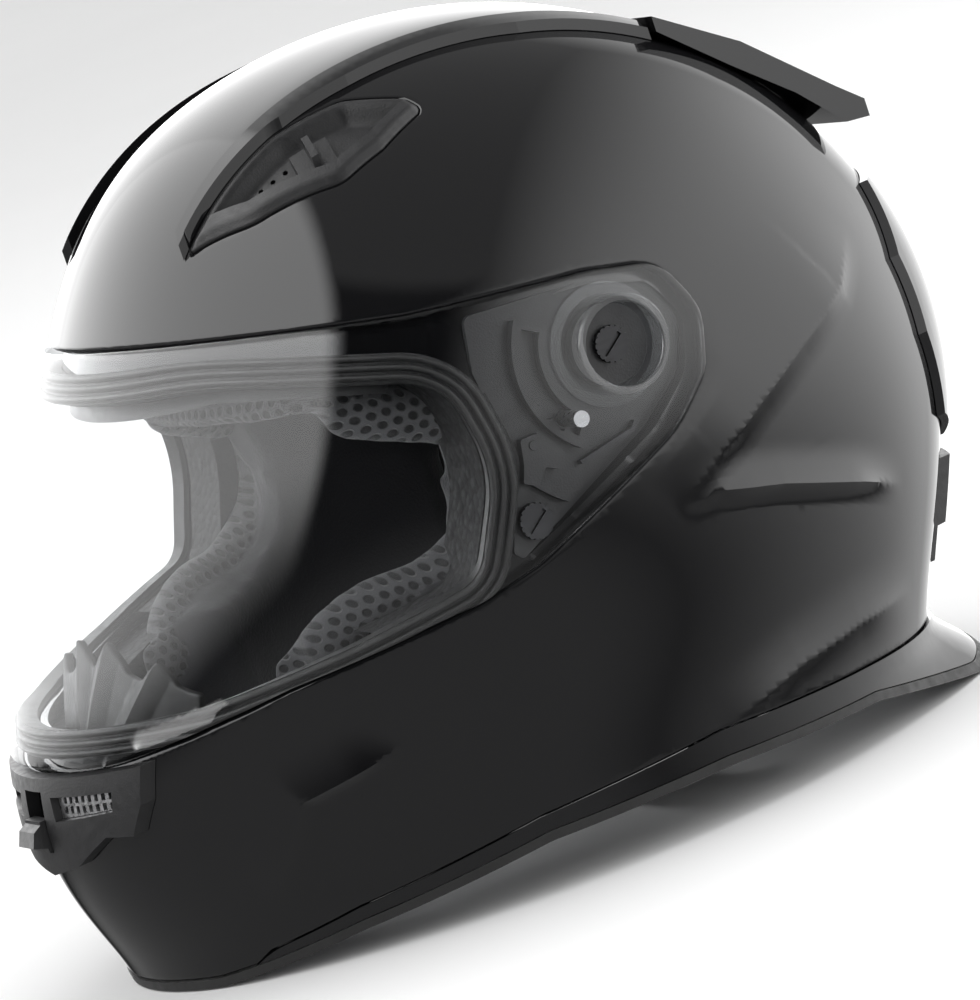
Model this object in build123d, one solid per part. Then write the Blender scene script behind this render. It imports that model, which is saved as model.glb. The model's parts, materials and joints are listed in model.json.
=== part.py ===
from build123d import *

import math
import os
from functools import lru_cache

import numpy as np

# Full-face motorcycle helmet, standing upright on its bottom edge.
# Frame: +Z up, the wearer faces -Y, +X is the wearer's left, and the helmet is symmetric
# about x = 0. Millimetres. The origin lies on the resting plane, under the middle of the
# overall length; the profiles are drawn about the head's axis and moved there at the end.

# ---- Driving dimensions -------------------------------------------------------------
CROWN = 256.0            # height of the crown above the resting plane
PROFILE_DEPTH = 150.0    # vertical radius that the profile parameter is based on

# Reach of the outer skin from the head's axis, at a few heights.
HEIGHTS = (250, 235, 210, 185, 155, 125, 95, 65, 35, 0)
FRONT_REACH = (36, 80, 105, 115, 129, 145, 163, 172, 168, 159)
REAR_REACH = (45, 84, 113, 138, 152, 160, 158, 146, 131, 122)
HALF_WIDTH = (35, 68, 98, 114, 123, 125, 123, 118, 113, 109)
HARMONICS = 5            # sine terms that fair each profile

SHELL_WALL = 3.0
GAP = 0.3                # clearance between stacked layers
FOAM = 28.0              # thickness of the impact foam
COMFORT = 7.0            # thickness of the comfort lining
FACE_HALF_WIDTH = 70.0   # oval that the cheek pads leave for the face, seen from above
FACE_HALF_LENGTH = 98.0
FACE_Y = -8.0
RECESS = 5.5             # depth of the step that the visor sits in
VISOR_INNER = 1.7        # visor's inner face above the skin
VISOR_OUTER = 3.9        # visor's outer face above the skin
VISOR_GAP = 1.2          # gap around the visor's edge
LIP_FLARE = 30.0         # how far the rear lip would flare out at its full depth
LIP_HEIGHT = 26.0        # height where the flare begins
LIP_DEPTH = 40.0         # height that the flare takes to build up

PIVOT_Y, PIVOT_Z = 3.0, 151.0    # visor hinge axis, which runs along X
PLATE_X = 112.0          # plane of the mechanism pocket's floor
PLATE = 1.7              # base plate thickness
HUB_R = 12.5             # fixed hub that the visor turns on
HUB_TOP = 118.0
RING_CLEARANCE = 0.08    # radial clearance between hub and visor ring
RING_R = 19.0            # outside of the visor's pivot ring
PIN_R = 2.5              # visor's ratchet pin
PIN_ORBIT = 26.0         # its distance from the hinge axis
PIN_REST_DEG = 218.0     # its direction from the hinge axis at rest
VISOR_TRAVEL = 55.0      # opening angle of the visor in degrees
SCREW_R = 5.6            # knurled screw heads
SCREW_SHANK_R = 2.5
LOW_SCREW_Y, LOW_SCREW_Z = -37.0, 110.0
LEVER_Y, LEVER_Z = -30.5, 131.5  # release lever's pivot
LEVER_PIN_R = 1.5

STRAP_Y, STRAP_Z = 6.0, 36.0     # strap rivets, on an axis along X
STRAP_X = 103.0
STRAP_WIDTH = 25.0
WEBBING = 2.0

LENGTH_SHIFT = 9.6       # moves the middle of the overall length onto the origin

FLOOR = -70.0            # level below the resting plane where raw skins are closed
WIDE = 170.0             # beyond the helmet's half width
SKIN_SPAN = 2.60         # profile parameter reached at the middle of a patch side
PATCH_ROUNDING = 0.42    # how far a square patch is rounded towards a disc
POLE = 0.004             # smallest profile angle used, next to the crown
PATCH_POINTS = 19        # fairing points along each side of a skin patch


# ---- Outer skin ---------------------------------------------------------------------
def fair(reaches):
    """Sine coefficients of the smooth profile through the reaches at HEIGHTS."""
    angle = np.arccos(1 - (CROWN - np.array(HEIGHTS, float)) / PROFILE_DEPTH)
    basis = np.stack([np.sin(k * angle / 2) for k in range(1, HARMONICS + 1)], axis=1)
    return np.linalg.lstsq(basis, np.array(reaches, float), rcond=None)[0]


FRONT, REAR, HALF = fair(FRONT_REACH), fair(REAR_REACH), fair(HALF_WIDTH)


BASE_ANGLE = math.acos(1 - CROWN / PROFILE_DEPTH)    # profile angle at the resting plane


def reach(coefficients, angle):
    """Reach at a profile angle; it runs on straight below the resting plane."""
    curved = min(angle, BASE_ANGLE)
    value = sum(c * math.sin((k + 1) * curved / 2) for k, c in enumerate(coefficients))
    slope = sum(c * (k + 1) / 2 * math.cos((k + 1) * curved / 2)
                for k, c in enumerate(coefficients))
    return value + slope * (angle - curved)


def level(angle):
    """Height at a profile angle; it runs on straight below the resting plane."""
    curved = min(angle, BASE_ANGLE)
    height = CROWN - PROFILE_DEPTH * (1 - math.cos(curved))
    return height - PROFILE_DEPTH * math.sin(curved) * (angle - curved)


def skin_point(angle, turn):
    """Point at a profile angle down from the crown and a turn from +X towards +Y."""
    front, rear = reach(FRONT, angle), reach(REAR, angle)
    side = math.sin(turn)
    y = (rear + front) / 2 * side + (rear - front) / 2 * side * side
    return np.array([reach(HALF, angle) * math.cos(turn), y, level(angle)])


def skin_normal(angle, turn):
    """Outward normal of the skin."""
    step = 1e-4
    down = skin_point(angle + step, turn) - skin_point(angle - step, turn)
    round_it = skin_point(angle, turn + step) - skin_point(angle, turn - step)
    normal = np.cross(down, round_it)
    return normal / np.linalg.norm(normal)


def patch_point(s, q, lift):
    """Lifted skin point of a rounded-square patch, s and q from -1 to 1."""
    u = s * math.sqrt(1 - PATCH_ROUNDING * q * q)
    v = q * math.sqrt(1 - PATCH_ROUNDING * s * s)
    angle, turn = max(SKIN_SPAN * math.hypot(u, v), POLE), math.atan2(v, u)
    point, normal = skin_point(angle, turn), skin_normal(angle, turn)
    return Vector(*(point + lift * normal))


@lru_cache(maxsize=None)
def inside(lift, floor=FLOOR):
    """Everything within the skin lifted by that much, on straight walls down to floor."""
    grid = np.linspace(-1, 1, PATCH_POINTS)
    points = [[patch_point(s, q, lift) for q in grid] for s in grid]
    dome = Face.make_surface_from_array_of_points(points, tol=0.02, min_deg=3, max_deg=3)
    walls, feet = [], []
    for rim in dome.edges():
        start, end = rim @ 0, rim @ 1
        foot = Edge.make_line((start.X, start.Y, floor), (end.X, end.Y, floor))
        walls.append(Face.make_surface_from_curves(rim, foot))
        feet.append(foot)
    return Solid(Shell([dome, *walls, Face(Wire(feet))]))


def layer(outer, inner):
    """Skin-shaped layer between two lifts."""
    return inside(outer) - inside(inner, FLOOR - 4)


# ---- Outlines and prisms ------------------------------------------------------------
def outline(points, radius=0.0):
    """Closed outline; radius is one number, or one per corner."""
    corners = [(a, b) for a, b in points]
    if radius == 0.0:
        return make_face(Polyline(*corners, close=True))
    return make_face(FilletPolyline(*corners, radius=radius, close=True))


def grown(face, amount):
    return offset(face, amount=amount, kind=Kind.ARC)


def side_prism(face, x0=-WIDE, x1=WIDE):
    """Side-view outline (y, z) carried from x0 to x1."""
    return extrude(Plane.YZ.offset(x0) * face, x1 - x0)


def front_prism(face, y0, y1):
    """Front-view outline (x, z) carried from y0 back to y1."""
    return extrude(Plane.XZ.offset(-y1) * face, y1 - y0)


def top_prism(face, z0=0.0, z1=300.0):
    """Top-view outline (x, y) carried from z0 up to z1."""
    return extrude(Plane.XY.offset(z0) * face, z1 - z0)


def rod(x0, x1, radius, y, z):
    """Round bar along X."""
    return side_prism(Pos(y, z) * Circle(radius), x0, x1)


def ring(x0, x1, outer, inner, y, z):
    return side_prism(Pos(y, z) * (Circle(outer) - Circle(inner)), x0, x1)


def polar(radius, degrees):
    """Side-view point at a distance and direction from the visor hinge."""
    a = math.radians(degrees)
    return PIVOT_Y + radius * math.cos(a), PIVOT_Z + radius * math.sin(a)


def arc_band(inner, outer, start, end):
    """Side-view band concentric with the visor hinge."""
    middle = (start + end) / 2
    edges = [
        ThreePointArc(polar(outer, start), polar(outer, middle), polar(outer, end)),
        Line(polar(outer, end), polar(inner, end)),
        ThreePointArc(polar(inner, end), polar(inner, middle), polar(inner, start)),
        Line(polar(inner, start), polar(outer, start)),
    ]
    return make_face(edges)


def flip(solid):
    """The same piece on the wearer's right."""
    return mirror(solid, about=Plane.YZ)


def both_sides(solid):
    return [solid, flip(solid)]


# ---- Side-view outlines -------------------------------------------------------------
VISOR = outline(
    [(-230, 198), (-112, 191), (-52, 179.5), (2, 173.5), (25, 168), (32, 151),
     (26, 134.2), (11, 121.8), (-42, 99.5), (-62, 94.5), (-116, 88), (-162, 77.5),
     (-230, 74)],
    radius=(0, 60, 60, 40, 14, 14, 14, 40, 30, 60, 60, 60, 0),
)
EYEPORT = outline(
    [(-230, 181), (-104, 177), (-51, 160), (-47, 130), (-60, 100.5), (-98, 93.5),
     (-138, 88), (-230, 90)],
    radius=(0, 40, 17, 40, 12, 40, 40, 0),
)
MECHANISM = outline(
    [(-38, 175), (4, 171.5), (24, 165), (31, 151), (24.5, 134.5), (8, 122.6), (-44, 100),
     (-47, 103), (-37, 130), (-41, 158)],
    radius=(3, 25, 10, 9, 9, 20, 2, 1.5, 15, 2),
)

# Height of the bottom edge and of the seam above it, from chin to nape.
EDGE_CURVE = ((-200, 0), (-150, 0), (-115, 8), (-60, 16), (0, 16.5), (60, 12.5),
              (112, 0), (200, 0))
SEAM_CURVE = ((-200, -6), (-152, -6), (-138, 9), (-115, 15.5), (-60, 24.5), (0, 28),
              (60, 24), (110, 20), (200, 19))


def under(curve, rise=0.0):
    """Side-view face of everything under a bottom-edge curve raised by rise."""
    points = [(y, z + rise) for y, z in curve]
    edges = [
        Polyline((200, points[-1][1]), (200, -99), (-200, -99), (-200, points[0][1])),
        FilletPolyline(*points, radius=14.0),
    ]
    return make_face(edges)


# ---- Shell and base edge ------------------------------------------------------------
def recessed(depth):
    """Volume within the shell at a depth below its outside, with the visor's step and
    the flat mechanism pockets taken out."""
    step = side_prism(grown(VISOR, VISOR_GAP + depth)) - inside(-RECESS - depth, FLOOR - 8)
    pocket = side_prism(grown(MECHANISM, depth) if depth else MECHANISM, PLATE_X - depth)
    return inside(-depth, FLOOR - depth) - step - pocket - flip(pocket)


TRIM_HEIGHT = 3.0
CHIN_SLOT = outline([(13, 63), (39, 64.5), (40, 70.5), (12, 70.5)])


def vent_outline(inset=0.0):
    """Top-view leaf of the left forehead vent."""
    leaf = outline(
        [(46.5, -87), (48.5, -48), (54, -26), (66, -11), (73, -9), (77.5, -28), (77.5, -44),
         (63.5, -70)],
        radius=(1, 20, 10, 4, 3, 8, 14, 30),
    )
    return grown(leaf, -inset) if inset else leaf


def outer_shell():
    shell = recessed(0.0) - recessed(SHELL_WALL)
    shell -= side_prism(grown(EYEPORT, 1.5))
    shell -= side_prism(under(EDGE_CURVE, TRIM_HEIGHT + GAP) + under(SEAM_CURVE))
    for hole in screw_places(SCREW_SHANK_R + 0.2, PLATE_X - 12, PLATE_X + 4):
        shell -= hole
    for slot in both_sides(front_prism(CHIN_SLOT, -200, -140)):
        shell -= slot
    for opening in both_sides(top_prism(vent_outline(), 190)):
        shell -= opening
    return shell


def rim_section(z, lift):
    """Plan of the lower shell at a height, with the rear lip's flare."""
    angle = math.acos(1 - (CROWN - z) / PROFILE_DEPTH)
    drop = min(max((LIP_HEIGHT - z) / LIP_DEPTH, 0.0), 1.0)
    points = []
    for degrees in range(0, 360, 12):
        turn = math.radians(degrees)
        point, normal = skin_point(angle, turn), skin_normal(angle, turn)
        rearward = max(normal[1], 0.0)
        out = lift + LIP_FLARE * drop * drop * (3 - 2 * drop) * rearward * rearward
        points.append((point[0] + out * normal[0], point[1] + out * normal[1], z))
    return Face(Wire(Spline(*points, periodic=True)))


def rim_band(outer, inner):
    """Wall around the bottom of the helmet between two lifts."""
    levels = (34, 26, 18, 10, 3, -4)
    solid = loft([rim_section(z, outer) for z in levels])
    hollow = loft([rim_section(z, inner) for z in (36, *levels, -6)])
    return solid - hollow


def lower_skirt():
    strip = under(SEAM_CURVE, -GAP) - under(EDGE_CURVE, TRIM_HEIGHT + GAP)
    return rim_band(0.0, -SHELL_WALL) & side_prism(strip)


def base_trim():
    strip = under(EDGE_CURVE, TRIM_HEIGHT) - under(EDGE_CURVE)
    return rim_band(0.5, -SHELL_WALL - 0.5) & side_prism(strip)


# ---- Foam and lining ----------------------------------------------------------------
FOAM_OUT = SHELL_WALL + GAP
FOAM_IN = FOAM_OUT + FOAM
LINING_OUT = FOAM_IN + GAP
CHEEK_END_X = 48.0       # the cheek pads stop this far from the middle, beside the mouth
CHIN_BLOCK = outline([(-200, 12), (-112, 16), (-55, 40), (-52, 88), (-62, 93), (-100, 86),
                      (-140, 80), (-200, 80)])


def foam(volume):
    for hole in screw_places(5.0, PLATE_X - 12, PLATE_X + 4):
        volume -= hole
    for opening in both_sides(top_prism(vent_outline(-GAP), 190) - inside(-7.3)):
        volume -= opening
    return volume


def eps_liner():
    block = recessed(FOAM_OUT) - inside(-FOAM_IN, FLOOR - 9)
    block -= side_prism(grown(EYEPORT, 2.5))
    block -= side_prism(outline([(-230, -99), (230, -99), (230, 34), (40, 44), (-40, 50),
                                 (-49, 96), (-100, 92), (-230, 92)]))
    return foam(block)


def eps_chin_bar():
    block = recessed(FOAM_OUT) - inside(-FOAM_IN + 6, FLOOR - 9)
    return foam((block & side_prism(CHIN_BLOCK)) - side_prism(grown(EYEPORT, 2.5)))


def comfort_liner():
    zone = outline([(-80, 196), (-40, 166), (28, 128), (30, 66), (180, 58), (180, 280),
                    (-140, 280), (-140, 196)])
    return layer(-LINING_OUT, -LINING_OUT - COMFORT) & side_prism(zone)


def brow_pad():
    zone = outline([(-140, 160), (-72, 157), (-42, 163.5), (-80, 193), (-140, 193)])
    return layer(-LINING_OUT, -LINING_OUT - COMFORT - 2) & side_prism(zone)


def cheek_pad():
    zone = outline(
        [(-160, 30), (22, 38), (26, 120), (-22, 150), (-36, 146), (-48, 104), (-72, 93),
         (-160, 84)],
        radius=(0, 10, 20, 6, 6, 20, 20, 0),
    )
    face = Pos(0, FACE_Y) * Ellipse(FACE_HALF_WIDTH, FACE_HALF_LENGTH)
    return (inside(-LINING_OUT) & side_prism(zone, CHEEK_END_X)) - top_prism(face)


def brow_strip():
    zone = outline([(-140, 168), (-98, 170), (-62, 160), (-60, 163.5), (-98, 175), (-140, 175)])
    return layer(-9.5, -13.0) & side_prism(zone)


def neck_roll():
    zone = outline([(30, 22), (60, 19), (115, 6), (180, 6), (180, 30), (60, 32), (30, 34)])
    return layer(-8.0, -30.0) & side_prism(zone)


def chin_curtain():
    zone = outline([(-200, 4), (-108, 11), (-60, 20), (-60, 22), (-108, 13.5), (-200, 6.5)])
    return layer(-SHELL_WALL - 1.0, -34.0) & side_prism(zone)


def breath_guard():
    """Deflector that stands up behind the chin bar, with a spiked upper edge."""
    spikes = [(-54, 88), (-44, 103), (-33, 95), (-22, 110), (-11, 99), (0, 112), (11, 99),
              (22, 110), (33, 95), (44, 103), (54, 88)]
    face = outline([(-54, 83), *spikes, (54, 83), (30, 81.3), (0, 80.4), (-30, 81.3)])
    return layer(-16.0, -19.0) & front_prism(face, -200, -90)


def eyeport_gasket():
    band = (grown(EYEPORT, 8.5) & grown(VISOR, VISOR_GAP - 0.4)) - EYEPORT
    return layer(0.8, -RECESS + 0.15) & side_prism(band)


# ---- Visor --------------------------------------------------------------------------
def visor_shield():
    sheet = layer(VISOR_OUTER, VISOR_INNER) & side_prism(VISOR)
    boss = ring(PLATE_X + PLATE + 0.8, WIDE, HUB_R + 2.6, HUB_R + RING_CLEARANCE,
                PIVOT_Y, PIVOT_Z) & inside(VISOR_INNER + 0.4)
    flange = ring(PLATE_X + PLATE + 0.8, PLATE_X + PLATE + 2.6, RING_R,
                  HUB_R + RING_CLEARANCE, PIVOT_Y, PIVOT_Z)
    for side in both_sides(boss + flange):
        sheet += side
    return sheet


def ratchet_pin():
    y, z = polar(PIN_ORBIT, PIN_REST_DEG)
    return rod(PLATE_X + PLATE + 0.8, WIDE, PIN_R, y, z) & inside(VISOR_INNER - 0.1)


def visor_ratchet_pins():
    return both_sides(ratchet_pin())


# ---- Visor mechanism on the wearer's left, mirrored for the right ---------------------
def screw_places(radius, x0, x1):
    """Bars of a given radius at the two screws of each side."""
    bars = []
    for y, z in ((PIVOT_Y, PIVOT_Z), (LOW_SCREW_Y, LOW_SCREW_Z)):
        bars += both_sides(rod(x0, x1, radius, y, z))
    return bars


def base_plate():
    bottom = PLATE_X + 0.15
    plate = side_prism(grown(MECHANISM, -0.5), bottom, PLATE_X + PLATE)
    hub = rod(bottom, HUB_TOP, HUB_R, PIVOT_Y, PIVOT_Z)
    seat = rod(bottom, PLATE_X + PLATE + 0.5, SCREW_R - 0.4, LOW_SCREW_Y, LOW_SCREW_Z)
    lever_pin = rod(bottom, PLATE_X + PLATE + 3.4, LEVER_PIN_R, LEVER_Y, LEVER_Z)
    plate = plate + hub + seat + lever_pin
    for y, z in ((PIVOT_Y, PIVOT_Z), (LOW_SCREW_Y, LOW_SCREW_Z)):
        plate -= rod(bottom - 1, HUB_TOP + 1, SCREW_SHANK_R + 0.15, y, z)
    return plate


def ratchet_arc():
    """Walled slot that guides the visor's pin, with detent notches on its outer wall."""
    start, end = PIN_REST_DEG - VISOR_TRAVEL - 12, PIN_REST_DEG + 12
    wall = arc_band(PIN_ORBIT - 5.2, PIN_ORBIT + 6.0, start - 4, end + 4)
    slot = arc_band(PIN_ORBIT - PIN_R - 0.4, PIN_ORBIT + PIN_R + 0.4, start, end)
    body = wall - slot
    for notch in range(6):
        angle = PIN_REST_DEG - notch * VISOR_TRAVEL / 5
        body -= Pos(*polar(PIN_ORBIT + PIN_R + 0.4, angle)) * Circle(1.1)
    bottom = PLATE_X + PLATE + 0.1
    return side_prism(body, bottom, bottom + 3.2)


def release_lever():
    """Trigger bar with its latch block, turning on the base plate's lever pin."""
    bar = arc_band(45.2, 48.5, 217, 234)
    block = outline(
        [(-35.5, 127), (-34, 134.5), (-27.5, 134.5), (-21.5, 125.5), (-24, 121.5), (-29, 124),
         (-33, 119.5), (-37.5, 122)],
        radius=0.8,
    )
    body = (bar + block) - Pos(LEVER_Y, LEVER_Z) * Circle(LEVER_PIN_R + 0.08)
    bottom = PLATE_X + PLATE + 0.1
    return side_prism(body, bottom, bottom + 2.8)


def lever_spring():
    """Flat spring from the plate's edge towards the latch block."""
    leaf = outline([(-17.5, 121.6), (-17, 120.4), (3, 123.4), (5, 125.4), (3.6, 126.6), (2, 124.8)])
    bottom = PLATE_X + PLATE + 0.1
    return side_prism(leaf, bottom, bottom + 2.6)


def knurled_screw(x, y, z):
    """Slotted, knurled screw whose head sits at x."""
    knurls = [Rot(0, 0, a) * Pos(SCREW_R, 0) * Circle(0.35) for a in range(0, 360, 20)]
    head = Circle(SCREW_R)
    for knurl in knurls:
        head -= knurl
    screw = side_prism(Pos(y, z) * head, x, x + 1.8)
    screw -= side_prism(Pos(y, z) * Rot(0, 0, 35) * Rectangle(8.4, 1.4), x + 0.9, x + 3)
    return screw + rod(PLATE_X - 9, x, SCREW_SHANK_R, y, z)


def pivot_screws():
    return both_sides(knurled_screw(HUB_TOP + 0.1, PIVOT_Y, PIVOT_Z))


def plate_screws():
    return both_sides(knurled_screw(PLATE_X + PLATE + 0.6, LOW_SCREW_Y, LOW_SCREW_Z))


def threaded_inserts():
    """Brass nuts behind the shell that take the four screws."""
    inserts = []
    for y, z in ((PIVOT_Y, PIVOT_Z), (LOW_SCREW_Y, LOW_SCREW_Z)):
        x = PLATE_X - SHELL_WALL
        inserts += both_sides(ring(x - 5.5, x - 0.2, 4.2, SCREW_SHANK_R + 0.08, y, z))
    return inserts


# ---- Vents --------------------------------------------------------------------------
CHIN_Y = -173.6          # plane just ahead of the chin's foremost reach
SLIDER_HALF = 6.0


def mirrored_outline(right_half):
    """Front-view outline from its +X half, listed from top to bottom."""
    left_half = [(-x, z) for x, z in reversed(right_half) if x > 0]
    return outline([*right_half, *left_half])


def chin_vent_housing():
    face = mirrored_outline([(0, 76), (51, 76.5), (48.5, 65), (43.5, 56), (34, 57), (18, 48.5),
                             (0, 45)])
    body = layer(4.6, 0.25) & front_prism(face, -200, -120)
    body -= side_prism(grown(VISOR, 0.9))
    channel = Pos(0, 62.5) * Rectangle(2 * SLIDER_HALF + 0.8, 19)
    body -= front_prism(channel, -200, -150)
    for slot in both_sides(front_prism(CHIN_SLOT, -200, -140)):
        body -= slot
    return body


def chin_vent_mesh():
    """Grille plates set into the two intake slots."""
    cell = Rectangle(1.5, 2.2)
    plate = grown(CHIN_SLOT, -0.2)
    for column in range(8):
        for row in range(2):
            plate -= Pos(16 + 2.9 * column, 65.7 + 3.1 * row) * cell
    return both_sides(layer(2.0, 0.9) & front_prism(plate, -200, -140))


def chin_vent_slider():
    lower = 55.0
    stem = Pos(0, lower + 3.5) * Rectangle(2 * SLIDER_HALF, 10)
    body = front_prism(stem, CHIN_Y - 3.4, CHIN_Y)
    grip = outline([(CHIN_Y - 3.4, lower), (CHIN_Y - 8.0, lower + 1.5), (CHIN_Y - 6.2, lower + 6),
                    (CHIN_Y - 3.4, lower + 7.5)])
    return body + side_prism(grip, -SLIDER_HALF, SLIDER_HALF)


def forehead_vent():
    frame = layer(1.6, -6.0) & top_prism(vent_outline(0.2), 190)
    pocket = top_prism(vent_outline(4.5), 190) - inside(-4.9)
    frame -= pocket
    for step in range(5):
        hole = Pos(55.5 + 1.2 * step, -62 + 4.5 * step) * Circle(0.9)
        frame -= top_prism(hole, 190)
    return frame


VENT_MIDDLE = (62.5, -44.0)
VENT_LEAN_DEG = -14.0


def forehead_slider():
    """Shutter plate with a finger rib, sliding along the vent's pocket."""
    x, y = VENT_MIDDLE
    face = Pos(x, y) * Rot(0, 0, VENT_LEAN_DEG) * Rectangle(10, 12.5)
    plate = layer(-2.3, -4.3) & top_prism(face, 190)
    rib = Pos(x, y) * Rot(0, 0, VENT_LEAN_DEG) * Rectangle(8, 2.2)
    return plate + (layer(1.0, -3.0) & top_prism(rib, 190))


def top_rail():
    strip = outline([(43, -86), (46.5, -88), (50.5, -20), (51, 40), (48, 84), (42, 84),
                     (44, 40), (43.5, -20)])
    rail = layer(3.4, 0.25) & top_prism(strip, 190)
    return rail - top_prism(vent_outline(-0.3), 190)


def rear_spoiler():
    profile = outline([(85.5, 229), (114, 211), (143, 186), (156, 175.5), (155.3, 172.5),
                       (143, 174), (128, 189), (108, 205), (85.5, 224)])
    plan = mirrored_outline([(0, 158), (30, 158), (43, 152), (50, 85.5), (0, 85.5)])
    return (side_prism(profile, -60, 60) & top_prism(plan, 150)) - inside(0.3)


def rear_exhaust_panel():
    face = mirrored_outline([(0, 160), (60, 157), (76, 134), (76, 108), (68, 80), (40, 68),
                             (0, 68)])
    body = layer(2.6, 0.25) & front_prism(face, 60, 200)
    for column in (-2, -1, 0, 1, 2):
        slot = Pos(17 * column, 84) * Rectangle(12, 5)
        body -= front_prism(slot, 60, 200)
    return body


def rear_exhaust_fin():
    """Air extractor under the rear panel."""
    face = mirrored_outline([(0, 62), (44, 62), (52, 34), (0, 34)])
    body = layer(4.4, 0.25) & front_prism(face, 60, 200)
    body -= side_prism(outline([(60, 20), (200, 20), (200, 47), (60, 40)])) - inside(2.0)
    return body


# ---- Retention strap ----------------------------------------------------------------
def ribbon(points, width, thickness=WEBBING):
    """Strap whose front-view (x, z) centreline passes through the points."""
    path = trace(Spline(*points), line_width=thickness)
    return front_prism(path, STRAP_Y - width / 2, STRAP_Y + width / 2)


def strap_eye():
    return rod(STRAP_X - 3, STRAP_X + 3, 3.08, STRAP_Y, STRAP_Z)


def strap_tab():
    """Steel eye plate sewn to the strap's root, which turns on the rivet."""
    tab = Pos(STRAP_Y, STRAP_Z - 4) * Rectangle(18, 20)
    return side_prism(tab, STRAP_X - 0.7, STRAP_X + 0.7) - strap_eye()


LOOP_X, LOOP_Z = -44.4, 8.2      # axis of the loop that carries the D ring
D_RING_BAR, D_RING_THICKNESS, D_RING_REACH = 3.0, 2.2, 24.0
LEFT_PATH = ((STRAP_X - 1.8, 28), (STRAP_X - 9, 15), (70, 7.5), (30, 5), (2, 5))
RIGHT_PATH = ((1.8 - STRAP_X, 28), (9 - STRAP_X, 15), (-78, 8.5), (-58, 7), (-47, 8))


def strap_rivets():
    """Shouldered rivets fixed in the anchor plates."""
    shank = rod(STRAP_X - 2.2, STRAP_X + 3.4, 3.0, STRAP_Y, STRAP_Z)
    head = rod(STRAP_X - 3.4, STRAP_X - 1.0, 5.0, STRAP_Y, STRAP_Z)
    return both_sides(shank + head)


def strap_anchors():
    plate = Pos(STRAP_Y, STRAP_Z) * RectangleRounded(26, 15, 3)
    body = side_prism(plate, STRAP_X + 1.0, STRAP_X + 3.0) & inside(-SHELL_WALL - GAP)
    return both_sides(body - strap_eye())


def strap_left():
    return ribbon(LEFT_PATH, STRAP_WIDTH)


def strap_right():
    loop = Pos(LOOP_X, LOOP_Z) * (Circle(3.6) - Circle(2.2))
    eye = front_prism(loop, STRAP_Y - STRAP_WIDTH / 2, STRAP_Y + STRAP_WIDTH / 2)
    return ribbon(RIGHT_PATH, STRAP_WIDTH) + eye


def strap_pad(sign):
    """Soft sleeve under the strap."""
    path = [(sign * x, z) for x, z in ((88, 16.2), (76, 12.8), (62, 11.4))]
    return ribbon(path, STRAP_WIDTH + 8, 3.0)


def snap_button():
    stud = Cylinder(5.5, 1.6, align=(Align.CENTER, Align.CENTER, Align.MIN))
    return Pos(10, STRAP_Y, 6.3) * stud


def d_ring():
    """D ring whose straight bar sits in the right strap's loop."""
    half = STRAP_WIDTH / 2 + 4
    bow = outline([(0, -half), (0, half), (14.4, half), (D_RING_REACH, half * 0.45),
                   (D_RING_REACH, -half * 0.45), (14.4, -half)], radius=3)
    frame = extrude(bow - grown(bow, -D_RING_BAR), D_RING_THICKNESS)
    corner = (LOOP_X - D_RING_BAR / 2, STRAP_Y, LOOP_Z - D_RING_THICKNESS / 2)
    return Pos(*corner) * frame


# ---- Assembly -----------------------------------------------------------------------
def build_nodes():
    left = {
        "cheek_pad": cheek_pad,
        "base_plate": base_plate,
        "ratchet_arc": ratchet_arc,
        "release_lever": release_lever,
        "lever_spring": lever_spring,
        "forehead_vent": forehead_vent,
        "forehead_slider": forehead_slider,
        "top_rail": top_rail,
    }
    nodes = {}
    for name, make in left.items():
        solid = make()
        nodes[name + "_left"] = solid
        nodes[name + "_right"] = flip(solid)
    single = (
        outer_shell, lower_skirt, base_trim, eps_liner, eps_chin_bar, comfort_liner,
        brow_pad, brow_strip, neck_roll, chin_curtain, breath_guard, eyeport_gasket,
        visor_shield, visor_ratchet_pins, pivot_screws, plate_screws, threaded_inserts,
        chin_vent_housing, chin_vent_mesh, chin_vent_slider, rear_spoiler,
        rear_exhaust_panel, rear_exhaust_fin, strap_rivets, strap_anchors,
        strap_left, strap_right, snap_button, d_ring,
    )
    for make in single:
        nodes[make.__name__] = make()
    tab = strap_tab()
    nodes["strap_tab_left"], nodes["strap_tab_right"] = tab, flip(tab)
    nodes["strap_pad_left"], nodes["strap_pad_right"] = strap_pad(1), strap_pad(-1)
    return nodes


def main():
    os.makedirs("parts", exist_ok=True)
    for name, shape in build_nodes().items():
        pieces = list(shape) if isinstance(shape, list) else [shape]
        solids = [solid for piece in pieces for solid in piece.solids()]
        placed = [Pos(0, LENGTH_SHIFT, 0) * solid for solid in solids]
        node = placed[0] if len(placed) == 1 else Compound(placed)
        node.label = name
        export_step(node, f"parts/{name}.step")


main()
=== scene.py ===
import json
import math

import bmesh
import bpy
import numpy as np
from mathutils import Matrix, Vector


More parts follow.
